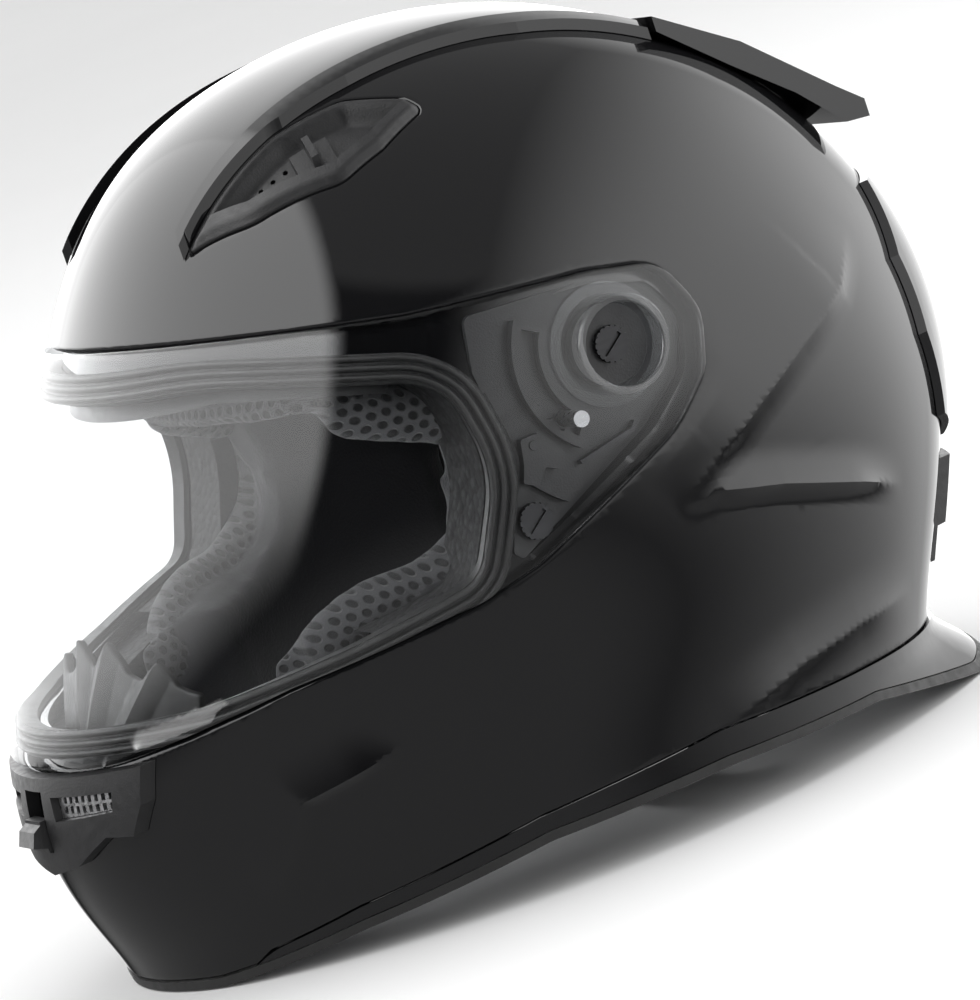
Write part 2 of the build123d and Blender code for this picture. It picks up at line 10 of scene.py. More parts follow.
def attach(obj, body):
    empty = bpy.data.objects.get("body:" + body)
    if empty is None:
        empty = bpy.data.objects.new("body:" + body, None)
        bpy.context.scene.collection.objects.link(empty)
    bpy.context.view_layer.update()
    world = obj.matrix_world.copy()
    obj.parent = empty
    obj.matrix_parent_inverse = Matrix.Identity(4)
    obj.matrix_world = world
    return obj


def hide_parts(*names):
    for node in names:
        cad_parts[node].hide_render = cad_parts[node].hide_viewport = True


# Looks of a full-face motorcycle helmet, built around its CAD frame. Outlines and lifts are
# in millimetres about the head's axis, as in the CAD; place() turns them into scene metres.
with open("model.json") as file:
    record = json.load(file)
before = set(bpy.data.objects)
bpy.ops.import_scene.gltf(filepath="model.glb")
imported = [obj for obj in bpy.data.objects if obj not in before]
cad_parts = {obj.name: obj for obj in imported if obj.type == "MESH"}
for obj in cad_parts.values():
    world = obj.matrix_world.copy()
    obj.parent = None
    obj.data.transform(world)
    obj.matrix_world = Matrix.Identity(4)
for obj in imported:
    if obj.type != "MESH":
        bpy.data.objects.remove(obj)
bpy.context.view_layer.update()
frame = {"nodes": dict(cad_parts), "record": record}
nodes = frame["nodes"]

# ---- Driving dimensions, the same as the CAD's ---------------------------------------
LENGTH_SHIFT = 9.6
CROWN = 256.0
PROFILE_DEPTH = 150.0
HEIGHTS = (250, 235, 210, 185, 155, 125, 95, 65, 35, 0)
FRONT_REACH = (36, 80, 105, 115, 129, 145, 163, 172, 168, 159)
REAR_REACH = (45, 84, 113, 138, 152, 160, 158, 146, 131, 122)
HALF_WIDTH = (35, 68, 98, 114, 123, 125, 123, 118, 113, 109)
HARMONICS = 5
SKIN_SPAN = 2.60
PATCH_ROUNDING = 0.42
POLE = 0.004

SHELL_WALL = 3.0
RECESS = 5.5
VISOR_INNER, VISOR_OUTER = 1.7, 3.9
VISOR_GAP = 1.2
PLATE_X = 112.0
PIVOT_Y, PIVOT_Z = 3.0, 151.0
VISOR_HOLE_R = 12.58
TRIM_TOP = 3.3
EYEPORT_GAP = 1.5        # the shell stops this far short of the eyeport
OUTSIDE = 99.0           # stands for "far from any edge" in a distance field
SNAP = 0.05              # a mesh corner this close to a cut is taken to lie on it

# Parts of the skin that each outline applies to.
VENT_ABOVE_Z = 190.0
SLOT_AHEAD_Y = -130.0
GUARD_AHEAD_Y = -90.0
GASKET_AHEAD_Y = 0.0
VISOR_AHEAD_Y = 60.0
MECHANISM_BEYOND_X = 60.0

# Finer looks.
EDGE_ROUND = 0.9         # rounding of the shell's cut edges
STEP_ROUND = 1.3         # rounding where the shell steps down under the visor
STEP_WALL = 0.4          # horizontal run of that step
RIB_CENTRES = (1.4, 4.2, 7.0)    # gasket ribs, measured out from the eyeport
RIB_HALF, RIB_HEIGHT = 1.1, 1.6
GASKET_WIDTH, GASKET_FACE, GASKET_UNDER = 8.5, 0.2, 5.3
GASKET_TUCK = 0.8        # how far the gasket reaches out under the visor's outline
VISOR_ROUND = 0.9        # rounding of the visor's edges
TAB_SPAN, TAB_FADE, TAB_HEIGHT, TAB_TOP_Z = (46.0, 74.0), 5.0, 3.2, 100.0
STEP_FADE = 6.0          # character lines fade out this close to the visor's step
SHARP_DEG = 38.0         # edges sharper than this are shaded as edges
SHELL_GRID, VISOR_GRID, VENT_GRID, GUARD_GRID = 330, 260, 760, 420
# Section of the visor's pivot ring as (x, radius) pairs.
PIVOT_RING = ((114.5, 12.6), (127.7, 12.6), (128.1, 13.0), (128.1, 14.9), (127.7, 15.3),
              (116.4, 15.3), (116.2, 18.8), (114.7, 19.0), (114.5, 18.8))


def rounded(corners, radii):
    """Closed loop of points through corners, each rounded to its radius."""
    loop = []
    count = len(corners)
    for i in range(count):
        before, corner, after = (np.array(corners[(i + k) % count], float) for k in (-1, 0, 1))
        a, b = before - corner, after - corner
        a, b = a / np.linalg.norm(a), b / np.linalg.norm(b)
        half = math.acos(np.clip(a @ b, -1, 1)) / 2
        if radii[i] == 0 or half > math.pi / 2 - 1e-3:
            loop.append(corner)
            continue
        tangent = radii[i] / math.tan(half)
        middle = corner + (a + b) / np.linalg.norm(a + b) * radii[i] / math.sin(half)
        start, end = corner + a * tangent - middle, corner + b * tangent - middle
        sweep = math.atan2(start[0] * end[1] - start[1] * end[0], start @ end)
        for k in range(9):
            angle = sweep * k / 8
            turn = np.array([[math.cos(angle), -math.sin(angle)],
                             [math.sin(angle), math.cos(angle)]])
            loop.append(middle + turn @ start)
    return np.array(loop)


VISOR = rounded(
    [(-230, 198), (-112, 191), (-52, 179.5), (2, 173.5), (25, 168), (32, 151),
     (26, 134.2), (11, 121.8), (-42, 99.5), (-62, 94.5), (-116, 88), (-162, 77.5),
     (-230, 74)],
    (0, 60, 60, 40, 14, 14, 14, 40, 30, 60, 60, 60, 0),
)
EYEPORT = rounded(
    [(-230, 181), (-104, 177), (-51, 160), (-47, 130), (-60, 100.5), (-98, 93.5),
     (-138, 88), (-230, 90)],
    (0, 40, 17, 40, 12, 40, 40, 0),
)
MECHANISM = rounded(
    [(-38, 175), (4, 171.5), (24, 165), (31, 151), (24.5, 134.5), (8, 122.6), (-44, 100),
     (-47, 103), (-37, 130), (-41, 158)],
    (3, 25, 10, 9, 9, 20, 2, 1.5, 15, 2),
)
VENT_LEAF = rounded(
    [(46.5, -87), (48.5, -48), (54, -26), (66, -11), (73, -9), (77.5, -28), (77.5, -44),
     (63.5, -70)],
    (1, 20, 10, 4, 3, 8, 14, 30),
)
VENT_OUTER = np.array([(46.5, -87), (63.5, -70), (77.5, -44), (77.5, -28), (73, -9)])
VENT_HOLES = [(55.5 + 1.2 * step, -62 + 4.5 * step) for step in range(5)]
VENT_HOLE_R = 0.9
VENT_BAR, VENT_LIP = 5.6, 0.9    # widths of the vent's thick outer bar and of its inner lip
VENT_GAP, VENT_FACE, VENT_UNDER = 0.2, 0.1, 6.0
VENT_CROWN, VENT_CROWN_RUN = 1.7, 3.0    # height of the bar's crown and how soon it is reached
VENT_POCKET, VENT_SLOPE, VENT_WALL = 4.9, 6.0, 0.8
VENT_ROUND = 0.6
GUARD = rounded(
    [(0, 107), (13, 114), (24, 104.5), (34, 101), (42, 106), (49, 97), (58, 92), (58, 84),
     (30, 81.3), (0, 80.4)],
    (0, 1.2, 6, 5, 1.2, 5, 2, 1, 20, 0),
)
GUARD_FOLDS = (((2, 84), (13, 114)), ((24, 84), (42, 106)))
GUARD_DEPTH, GUARD_WALL, GUARD_ROUND = 16.0, 2.6, 0.9
GUARD_FOLD, GUARD_FOLD_HALF, GUARD_FOLD_LENGTH = 2.4, 8.0, 30.0
CHIN_SLOT = rounded([(13, 63), (39, 64.5), (40, 70.5), (12, 70.5)], (1, 1, 1, 1))

EDGE_CURVE = ((-200, 0), (-150, 0), (-115, 8), (-60, 16), (0, 16.5), (60, 12.5),
              (112, 0), (200, 0))
SEAM_CURVE = ((-200, -6), (-152, -6), (-138, 9), (-115, 15.5), (-60, 24.5), (0, 28),
              (60, 24), (110, 20), (200, 19))

# Character lines of the shell in side view (y, z), each with how far it stands proud and how
# quickly it fades above and below.
REAR_CREASE = ((108, 151), (89, 136), (65, 127.5), (43, 118), (23, 108), (4, 96.5))
LEAF_RIDGE = ((4, 96.5), (20, 98), (42, 91.7), (74, 79.6), (96, 70))
LOWER_FACET = ((0, 27), (33, 36), (60, 38.5), (92, 37.4))
JAW_CREASE = ((-137, 22), (-122, 53), (-88, 61))
CREASES = (
    (REAR_CREASE, 2.8, 40.0, 9.0),
    (LEAF_RIDGE, 3.2, 12.0, 7.0),
    (LOWER_FACET, 1.6, 16.0, 12.0),
    (JAW_CREASE, 2.6, 22.0, 6.0),
)
CREASE_FADE = 0.3        # share of a character line's length over which each end fades
CREASE_X, CREASE_RUN = 40.0, 30.0    # where the lines begin to show, and how soon they are full


# ---- The analytic skin ---------------------------------------------------------------
def fair(reaches):
    angle = np.arccos(1 - (CROWN - np.array(HEIGHTS, float)) / PROFILE_DEPTH)
    basis = np.stack([np.sin(k * angle / 2) for k in range(1, HARMONICS + 1)], axis=1)
    return np.linalg.lstsq(basis, np.array(reaches, float), rcond=None)[0]


FRONT, REAR, HALF = fair(FRONT_REACH), fair(REAR_REACH), fair(HALF_WIDTH)
BASE_ANGLE = math.acos(1 - CROWN / PROFILE_DEPTH)


def reach(coefficients, angle):
    curved = np.minimum(angle, BASE_ANGLE)
    value, slope = 0.0, 0.0
    for k, c in enumerate(coefficients):
        value = value + c * np.sin((k + 1) * curved / 2)
        slope = slope + c * (k + 1) / 2 * np.cos((k + 1) * curved / 2)
    return value + slope * (angle - curved)


def skin_point(angle, turn):
    front, rear = reach(FRONT, angle), reach(REAR, angle)
    side = np.sin(turn)
    curved = np.minimum(angle, BASE_ANGLE)
    z = CROWN - PROFILE_DEPTH * (1 - np.cos(curved))
    z = z - PROFILE_DEPTH * np.sin(curved) * (angle - curved)
    y = (rear + front) / 2 * side + (rear - front) / 2 * side * side
    return np.stack([reach(HALF, angle) * np.cos(turn), y, z], axis=-1)


def skin(patch):
    """Points and outward normals of the skin at patch places (s, q) from -1 to 1."""
    s, q = patch[:, 0], patch[:, 1]
    u = s * np.sqrt(1 - PATCH_ROUNDING * q * q)
    v = q * np.sqrt(1 - PATCH_ROUNDING * s * s)
    angle = np.maximum(SKIN_SPAN * np.hypot(u, v), POLE)
    turn = np.arctan2(v, u)
    step = 1e-3
    down = skin_point(angle + step, turn) - skin_point(angle - step, turn)
    across = skin_point(angle, turn + step) - skin_point(angle, turn - step)
    normal = np.cross(down, across)
    return skin_point(angle, turn), normal / np.linalg.norm(normal, axis=1)[:, None]


def place(points):
    """Millimetres about the head's axis to metres in the frame."""
    return (np.asarray(points, float) + (0, LENGTH_SHIFT, 0)) / 1000


# ---- Distance fields -----------------------------------------------------------------
def segment_distance(points, starts, ends):
    """Distance of each point to the nearest segment."""
    best = np.full(len(points), np.inf)
    for start, end in zip(starts, ends):
        along = end - start
        length = max(along @ along, 1e-12)
        t = np.clip((points - start) @ along / length, 0, 1)
        best = np.minimum(best, np.linalg.norm(points - start - t[:, None] * along, axis=1))
    return best


def loop_distance(points, loop):
    """Signed distance to a closed loop, positive outside it."""
    ends = np.roll(loop, -1, axis=0)
    inside = np.zeros(len(points), bool)
    for (ax, ay), (bx, by) in zip(loop, ends):
        if ay == by:
            continue
        crosses = (points[:, 1] < ay) != (points[:, 1] < by)
        inside ^= crosses & (points[:, 0] < ax + (points[:, 1] - ay) / (by - ay) * (bx - ax))
    distance = segment_distance(points, loop, ends)
    return np.where(inside, -distance, distance)


def side_distance(base, loop):
    return loop_distance(base[:, 1:3], loop)


def from_above(base):
    """Top-view places, with the right half folded onto the left."""
    return np.stack([np.abs(base[:, 0]), base[:, 1]], axis=1)


def from_front(base):
    """Front-view places, with the right half folded onto the left."""
    return np.stack([np.abs(base[:, 0]), base[:, 2]], axis=1)


def visor_step(base):
    return side_distance(base, VISOR) - VISOR_GAP


def mechanism_field(base):
    beside = np.abs(base[:, 0]) > MECHANISM_BEYOND_X
    return np.where(beside, side_distance(base, MECHANISM), OUTSIDE)


def shell_edge(base):
    """Distance inside the shell's cut edges, measured in the view each was drawn in."""
    field = side_distance(base, EYEPORT) - EYEPORT_GAP
    field = np.where(base[:, 1] > 0, OUTSIDE, field)
    edge = np.interp(base[:, 1], *np.array(EDGE_CURVE, float).T) + TRIM_TOP
    seam = np.interp(base[:, 1], *np.array(SEAM_CURVE, float).T)
    field = np.minimum(field, base[:, 2] - np.maximum(edge, seam))
    vent = loop_distance(from_above(base), VENT_LEAF)
    vent = np.where(base[:, 2] > VENT_ABOVE_Z, vent, OUTSIDE)
    slot = loop_distance(from_front(base), CHIN_SLOT)
    slot = np.where(base[:, 1] < SLOT_AHEAD_Y, slot, OUTSIDE)
    return np.minimum(field, np.minimum(vent, slot))


def vent_rim(base):
    """Distance inside the outline of a forehead vent, which is drawn from above."""
    inward = -VENT_GAP - loop_distance(from_above(base), VENT_LEAF)
    return np.where(base[:, 2] > VENT_ABOVE_Z, inward, -OUTSIDE)


def vent_bar(base):
    """Distance inward from the inner edge of the vent's thick bar."""
    return segment_distance(from_above(base), VENT_OUTER[:-1], VENT_OUTER[1:]) - VENT_BAR


def vent_edge(base):
    field = vent_rim(base)
    for x, y in VENT_HOLES:
        field = np.minimum(field, np.hypot(np.abs(base[:, 0]) - x, base[:, 1] - y) - VENT_HOLE_R)
    return field


def guard_edge(base):
    """Distance inside the breath guard's front-view outline, whose halves mirror."""
    both = np.concatenate([GUARD, GUARD[::-1] * (-1, 1)])
    inward = -loop_distance(from_front(base), both)
    return np.where(base[:, 1] < GUARD_AHEAD_Y, inward, -OUTSIDE)


def guard_fold(base):
    """How near a fold of the breath guard each point is, from 1 on it down to 0."""
    fold = np.zeros(len(base))
    for start, end in GUARD_FOLDS:
        line = np.array([start, end], float)
        away = segment_distance(from_front(base), line[:1], line[1:])
        fold = np.maximum(fold, 1 - away / GUARD_FOLD_HALF)
    return fold


def visor_edge(base):
    inward = -side_distance(base, VISOR)
    field = np.where(base[:, 1] < VISOR_AHEAD_Y, inward, -OUTSIDE)
    hole = np.hypot(base[:, 1] - PIVOT_Y, base[:, 2] - PIVOT_Z) - VISOR_HOLE_R
    return np.minimum(field, hole)


def gasket_out(base):
    return side_distance(base, EYEPORT)


def gasket_edge(base):
    out = gasket_out(base)
    under_visor = GASKET_TUCK - side_distance(base, VISOR)
    field = np.minimum(np.minimum(out, GASKET_WIDTH - out), under_visor)
    return np.where(base[:, 1] < GASKET_AHEAD_Y, field, -OUTSIDE)


# ---- Lifts ---------------------------------------------------------------------------
def rounding(distance, radius):
    """How far a rounded edge of that radius drops at a distance in from the edge."""
    inward = np.clip(radius - distance, 0, radius)
    return radius - np.sqrt(np.maximum(radius * radius - inward * inward, 0))


def smooth(t):
    t = np.clip(t, 0, 1)
    return t * t * (3 - 2 * t)


def along_line(base, line):
    """Signed side-view distance from a line, positive above it, and the share of its length."""
    line = np.array(line, float)
    line = line if line[0, 0] < line[-1, 0] else line[::-1]
    points = base[:, 1:3]
    best, sign, along = np.full(len(points), np.inf), np.ones(len(points)), np.zeros(len(points))
    done = 0.0
    for start, end in zip(line[:-1], line[1:]):
        step = end - start
        length = np.linalg.norm(step)
        t = np.clip((points - start) @ step / length ** 2, 0, 1)
        gap = points - start - t[:, None] * step
        distance = np.linalg.norm(gap, axis=1)
        nearer = distance < best
        sign = np.where(nearer, np.sign(step[0] * gap[:, 1] - step[1] * gap[:, 0]), sign)
        along = np.where(nearer, done + t * length, along)
        best = np.where(nearer, distance, best)
        done += length
    return best * sign, along / done


def crease(base, line, height, above, below):
    """Raised character line that fades out at its ends and on both sides."""
    distance, share = along_line(base, line)
    fade = smooth(share / CREASE_FADE) * smooth((1 - share) / CREASE_FADE)
    side = smooth((np.abs(base[:, 0]) - CREASE_X) / CREASE_RUN)
    away = np.clip(np.abs(distance) / np.where(distance > 0, above, below), 0, 1)
    return height * fade * side * (1 - away) ** 2


def shell_lift(base):
    lift = np.zeros(len(base))
    for line, height, above, below in CREASES:
        lift = lift + crease(base, line, height, above, below)
    step = visor_step(base)
    lift = lift * smooth(step / STEP_FADE)
    lift = lift - np.where(step > 0, rounding(step, STEP_ROUND), 0.0)
    floor = -RECESS + (RECESS - STEP_ROUND) * np.clip(1 + step / STEP_WALL, 0, 1)
    lift = np.where(step <= 0, floor, lift)
    return lift - rounding(shell_edge(base), EDGE_ROUND)


def visor_tab(base):
    """Finger tab on the visor's lower edge, on the wearer's left."""
    start, end = TAB_SPAN
    across = smooth((base[:, 0] - start) / TAB_FADE) * smooth((end - base[:, 0]) / TAB_FADE)
    inward = -side_distance(base, VISOR)
    return across * smooth(1 - inward / TAB_FADE) * (base[:, 2] < TAB_TOP_Z)


def visor_lift(base):
    return VISOR_OUTER + TAB_HEIGHT * visor_tab(base) - rounding(visor_edge(base), VISOR_ROUND)


def visor_under(base):
    return VISOR_INNER + rounding(visor_edge(base), VISOR_ROUND)


def gasket_lift(base):
    out = gasket_out(base)
    lift = np.full(len(base), GASKET_FACE)
    for centre in RIB_CENTRES:
        across = np.clip(np.abs(out - centre) / RIB_HALF, 0, 1)
        rib = RIB_HEIGHT * np.sqrt(1 - across * across)
        lift = np.maximum(lift, GASKET_FACE + rib)
    return lift


def vent_lift(base):
    """Thick bar on the outer side, thin lip on the inner side, and the pocket between them."""
    rim, bar = vent_rim(base), vent_bar(base)
    lip = rim - VENT_LIP
    off_bar = smooth(bar / VENT_WALL)
    pocket = off_bar * smooth(lip / VENT_SLOPE)
    crown = VENT_CROWN * (1 - off_bar) * smooth((rim + VENT_GAP) / VENT_CROWN_RUN)
    return VENT_FACE + crown - VENT_POCKET * pocket - rounding(rim, VENT_ROUND)


def guard_lift(base):
    return GUARD_FOLD * guard_fold(base) - GUARD_DEPTH - rounding(guard_edge(base), GUARD_ROUND)


def guard_under(base):
    return GUARD_FOLD * guard_fold(base) - GUARD_DEPTH - GUARD_WALL


def flat(depth):
    """Lift function of a face that lies everywhere that deep under the skin."""
    return lambda base: np.full(len(base), -depth)


# ---- Meshes cut from the skin ----------------------------------------------------------
class Patch:
    """Triangles over the skin that can be cut along the level lines of a field."""

    def __init__(self, count):
        side = np.linspace(-1, 1, count)
        self.places = np.array([(s, q) for s in side for q in side])
        corner = np.arange(count * count).reshape(count, count)
        a, b = corner[:-1, :-1].ravel(), corner[1:, :-1].ravel()
        c, d = corner[1:, 1:].ravel(), corner[:-1, 1:].ravel()
        self.triangles = np.concatenate([np.stack([a, b, c], 1), np.stack([a, c, d], 1)])
        self.base = skin(self.places)[0]

    def crop(self, field, limit):
        """Drops triangles well outside the field, which only saves time."""
        value = field(self.base)[self.triangles]
        self.triangles = self.triangles[value.max(axis=1) > limit]
        self.tidy()

    def tidy(self):
        """Drops the corners that no triangle uses."""
        used, flat = np.unique(self.triangles, return_inverse=True)
        self.places, self.base = self.places[used], self.base[used]
        self.triangles = flat.reshape(-1, 3)

    def split(self, field, level=0.0):
        """Cuts the triangles that the field's level line crosses along that line."""
        value = field(self.base) - level
        value[np.abs(value) < SNAP] = 0
        signs = np.sign(value).astype(int)[self.triangles]
        crossed = (signs.min(axis=1) < 0) & (signs.max(axis=1) > 0)
        if not crossed.any():
            return
        work, signs = self.triangles[crossed], signs[crossed]
        touching = (signs == 0).any(axis=1)
        lone = np.where(touching, np.argmax(signs == 0, axis=1),
                        np.argmax(signs == -signs.sum(axis=1)[:, None], axis=1))
        order = (lone[:, None] + np.arange(3)) % 3
        a, b, c = np.take_along_axis(work, order, axis=1).T
        one, two = touching, ~touching
        edges = np.concatenate([np.stack([b[one], c[one]], 1), np.stack([a[two], b[two]], 1),
                                np.stack([a[two], c[two]], 1)])
        unique, where = np.unique(np.sort(edges, axis=1), axis=0, return_inverse=True)
        start, end = unique.T
        t = (value[start] / (value[start] - value[end]))[:, None]
        fresh = self.places[start] * (1 - t) + self.places[end] * t
        new = len(self.places) + where.ravel()
        self.places = np.concatenate([self.places, fresh])
        self.base = np.concatenate([self.base, skin(fresh)[0]])
        n1, n2 = one.sum(), two.sum()
        p, pb, pc = new[:n1], new[n1:n1 + n2], new[n1 + n2:]
        self.triangles = np.concatenate([
            self.triangles[~crossed],
            np.stack([a[one], b[one], p], 1), np.stack([a[one], p, c[one]], 1),
            np.stack([a[two], pb, pc], 1), np.stack([pb, b[two], c[two]], 1),
            np.stack([pb, c[two], pc], 1),
        ])

    def keep(self, field):
        """Keeps the part where the field is positive."""
        self.split(field)
        value = field(self.base)[self.triangles]
        largest = np.argmax(np.abs(value), axis=1)
        self.triangles = self.triangles[value[np.arange(len(value)), largest] > 0]
        self.tidy()

    def solid(self, name, outer, inner, flatten=None):
        """Closed mesh between two lifts of the patch."""
        base, normal = skin(self.places)
        top = base + outer(base)[:, None] * normal
        bottom = base + inner(base)[:, None] * normal
        if flatten:
            top, bottom = flatten(base, top, PLATE_X), flatten(base, bottom, PLATE_X - SHELL_WALL)
        count = len(base)
        tri = self.triangles
        edges = np.concatenate([tri[:, [0, 1]], tri[:, [1, 2]], tri[:, [2, 0]]])
        key = edges[:, 0] * count + edges[:, 1]
        free = edges[~np.isin(edges[:, 1] * count + edges[:, 0], key)]
        rim = np.stack([free[:, 1], free[:, 0], free[:, 0] + count, free[:, 1] + count], 1)
        faces = [*tri.tolist(), *(tri[:, ::-1] + count).tolist(), *rim.tolist()]
        return mesh_object(name, place(np.concatenate([top, bottom])), faces)


def mesh_object(name, points, faces):
    mesh = bpy.data.meshes.new(name)
    mesh.from_pydata([tuple(p) for p in points], [], faces)
    mesh.validate()
    mesh.shade_smooth()
    mesh.set_sharp_from_angle(angle=math.radians(SHARP_DEG))
    obj = bpy.data.objects.new(name, mesh)
    bpy.context.scene.collection.objects.link(obj)
    return obj


def flatten_pocket(base, points, limit):
    """Presses the mechanism pocket flat against a plane across X."""
    depth = np.clip(-mechanism_field(base) / STEP_WALL, 0, 1)
    flat = points.copy()
    flat[:, 0] = np.sign(points[:, 0]) * np.minimum(np.abs(points[:, 0]), limit)
    return points * (1 - depth[:, None]) + flat * depth[:, None]


def lathe(name, profile, x_sign, y, z, steps=96):
    """Closed ring around an axis along X; profile is (x, radius) pairs."""
    points, faces = [], []
    for k in range(steps):
        a = 2 * math.pi * k / steps
        for x, radius in profile:
            points.append((x_sign * x, y + radius * math.cos(a), z + radius * math.sin(a)))
    size = len(profile)
    for k in range(steps):
        for i in range(size):
            j = (i + 1) % size
            a, b = k * size, (k + 1) % steps * size
            quad = (a + i, a + j, b + j, b + i)
            faces.append(quad if x_sign > 0 else quad[::-1])
    obj = mesh_object(name, place(points), faces)
    recalculate(obj)
    return obj


def recalculate(obj):
    work = bmesh.new()
    work.from_mesh(obj.data)
    bmesh.ops.recalc_face_normals(work, faces=work.faces)
    work.to_mesh(obj.data)
    work.free()


# ---- Materials -------------------------------------------------------------------------
class Look:
    """A procedural material that is put together node by node."""

    def __init__(self, name):
        self.material = bpy.data.materials.new(name)
        self.material.use_nodes = True
        self.tree = self.material.node_tree
        self.bsdf = self.tree.nodes["Principled BSDF"]
        self.output = self.tree.nodes["Material Output"]
        self.place = self.add("ShaderNodeTexCoord").outputs["Object"]

    def add(self, kind, inputs=None, **settings):
        node = self.tree.nodes.new(kind)
        for key, value in settings.items():
            setattr(node, key, value)
        for key, value in (inputs or {}).items():
            self.put(node, key, value)
        return node

    def put(self, node, key, value):
        if isinstance(value, bpy.types.NodeSocket):
            self.tree.links.new(value, node.inputs[key])
        else:
            node.inputs[key].default_value = value

    def set(self, **inputs):
        for key, value in inputs.items():
            self.put(self.bsdf, key.replace("_", " "), value)

    def noise(self, scale, detail=2.0, where=None):
        settings = {"Vector": where or self.place, "Scale": scale, "Detail": detail}
        return self.add("ShaderNodeTexNoise", settings).outputs["Fac"]

    def cells(self, scale):
        settings = {"Vector": self.place, "Scale": scale, "Randomness": 1.0}
        return self.add("ShaderNodeTexVoronoi", settings).outputs["Distance"]

    def math(self, operation, a, b=0.0):
        return self.add("ShaderNodeMath", {0: a, 1: b}, operation=operation).outputs[0]

    def remap(self, value, low, high, out_low, out_high):
        limits = {"Value": value, "From Min": low, "From Max": high, "To Min": out_low,
                  "To Max": out_high}
        return self.add("ShaderNodeMapRange", limits).outputs["Result"]

    def mix(self, share, a, b):
        node = self.add("ShaderNodeMix", {"Factor": share}, data_type="RGBA")
        for socket, colour in ((node.inputs[6], a), (node.inputs[7], b)):
            socket.default_value = (*colour, 1.0)
        return node.outputs[2]

    def bump(self, height, distance, strength=1.0):
        settings = {"Height": height, "Distance": distance, "Strength": strength}
        self.put(self.bsdf, "Normal", self.add("ShaderNodeBump", settings).outputs["Normal"])

    def stretched(self, scale):
        settings = {"Vector": self.place, "Scale": scale}
        return self.add("ShaderNodeMapping", settings).outputs["Vector"]


def gloss_black():
    look = Look("gloss_black")
    look.set(Base_Color=(0.006, 0.006, 0.0065, 1))
    look.set(Roughness=look.remap(look.noise(35, 4), 0.35, 0.7, 0.03, 0.055))
    look.bump(look.noise(260, 1), 0.00001, 0.35)
    return look.material


def matte_black():
    look = Look("matte_black")
    look.set(Base_Color=look.mix(look.noise(60, 3), (0.008, 0.008, 0.0085),
                                 (0.015, 0.015, 0.016)))
    look.set(Roughness=look.remap(look.noise(400, 2), 0.3, 0.7, 0.36, 0.5))
    look.bump(look.cells(1500), 0.00006, 0.5)
    return look.material


def rubber():
    look = Look("trim_rubber")
    look.set(Base_Color=look.mix(look.noise(90, 3), (0.012, 0.012, 0.012),
                                 (0.024, 0.024, 0.024)))
    look.set(Roughness=look.remap(look.noise(300, 3), 0.3, 0.7, 0.45, 0.65))
    look.bump(look.noise(1800, 2), 0.00008, 0.5)
    return look.material


def clear_visor():
    """Thin clear sheet: mirror-like at a slant, see-through face on."""
    look = Look("clear_visor")
    see = look.add("ShaderNodeBsdfTransparent", {"Color": (0.965, 0.97, 0.975, 1)})
    haze = look.remap(look.noise(70, 5), 0.45, 0.75, 0.012, 0.03)
    shine = look.add("ShaderNodeBsdfGlossy", {"Roughness": haze, "Color": (1, 1, 1, 1)})
    front = look.math("SUBTRACT", 1.0, look.add("ShaderNodeNewGeometry").outputs["Backfacing"])
    fresnel = look.add("ShaderNodeFresnel", {"IOR": 1.5}).outputs["Fac"]
    share = look.math("MULTIPLY", fresnel, front)
    blend = look.add("ShaderNodeMixShader", {0: share, 1: see.outputs[0], 2: shine.outputs[0]})
    look.tree.links.new(blend.outputs[0], look.output.inputs["Surface"])
    look.tree.nodes.remove(look.bsdf)
    return look.material


def metal(name, colour, roughness):
    look = Look(name)
    brushed = look.noise(900, 3, look.stretched((1, 0.08, 1)))
    look.set(Base_Color=(*colour, 1), Metallic=1.0)
    look.set(Roughness=look.remap(brushed, 0.3, 0.7, roughness - 0.08, roughness + 0.1))
    look.bump(brushed, 0.00003, 0.4)
    return look.material


def foam_beads():
    look = Look("foam")
    beads = look.cells(320)
    # Painted shade: the colour darkens towards each bead's edge, in the hollows between beads
    # where the bump dips.
    look.set(Base_Color=look.mix(look.remap(beads, 0.2, 0.75, 0, 1), (0.013, 0.013, 0.014),
                                 (0.005, 0.005, 0.005)))
    look.set(Roughness=look.remap(look.noise(500), 0.3, 0.7, 0.7, 0.9))
    look.bump(look.remap(beads, 0.1, 0.8, 1, 0), 0.0006, 0.8)
    return look.material


MESH_PITCH = 0.0040      # spacing of the holes in a row of the spacer mesh


def spacer_mesh(name, across):
    """Knitted mesh with staggered round holes; across names the axis that rows run along."""
    look = Look(name)
    axes = look.add("ShaderNodeSeparateXYZ", {"Vector": look.place}).outputs
    hole = None
    for offset in (0.0, 0.5):
        row = look.math("ADD", look.math("DIVIDE", axes[across], MESH_PITCH), offset)
        up = look.math("DIVIDE", axes["Z"], MESH_PITCH * math.sqrt(3))
        up = look.math("ADD", up, offset)
        cell = []
        for value, size in ((row, 1.0), (up, math.sqrt(3))):
            wrapped = look.math("SUBTRACT", look.math("FRACT", value), 0.5)
            cell.append(look.math("MULTIPLY", wrapped, size))
        where = look.add("ShaderNodeCombineXYZ", {"X": cell[0], "Y": cell[1]}).outputs[0]
        dots = look.add("ShaderNodeVectorMath", {0: where}, operation="LENGTH").outputs["Value"]
        hole = dots if hole is None else look.math("MINIMUM", hole, dots)
    open_share = look.remap(hole, 0.26, 0.36, 0, 1)
    # Painted shade: the holes are coloured near black for the shade down inside them, and the
    # knit between them is lighter.
    look.set(Base_Color=look.mix(open_share, (0.006, 0.006, 0.0065), (0.065, 0.065, 0.068)))
    look.set(Roughness=look.remap(look.noise(900), 0.3, 0.7, 0.75, 0.95))
    knit = look.math("ADD", open_share, look.math("MULTIPLY", look.noise(2500), 0.25))
    look.bump(knit, 0.0008, 0.9)
    look.set(Sheen_Weight=0.25)
    return look.material


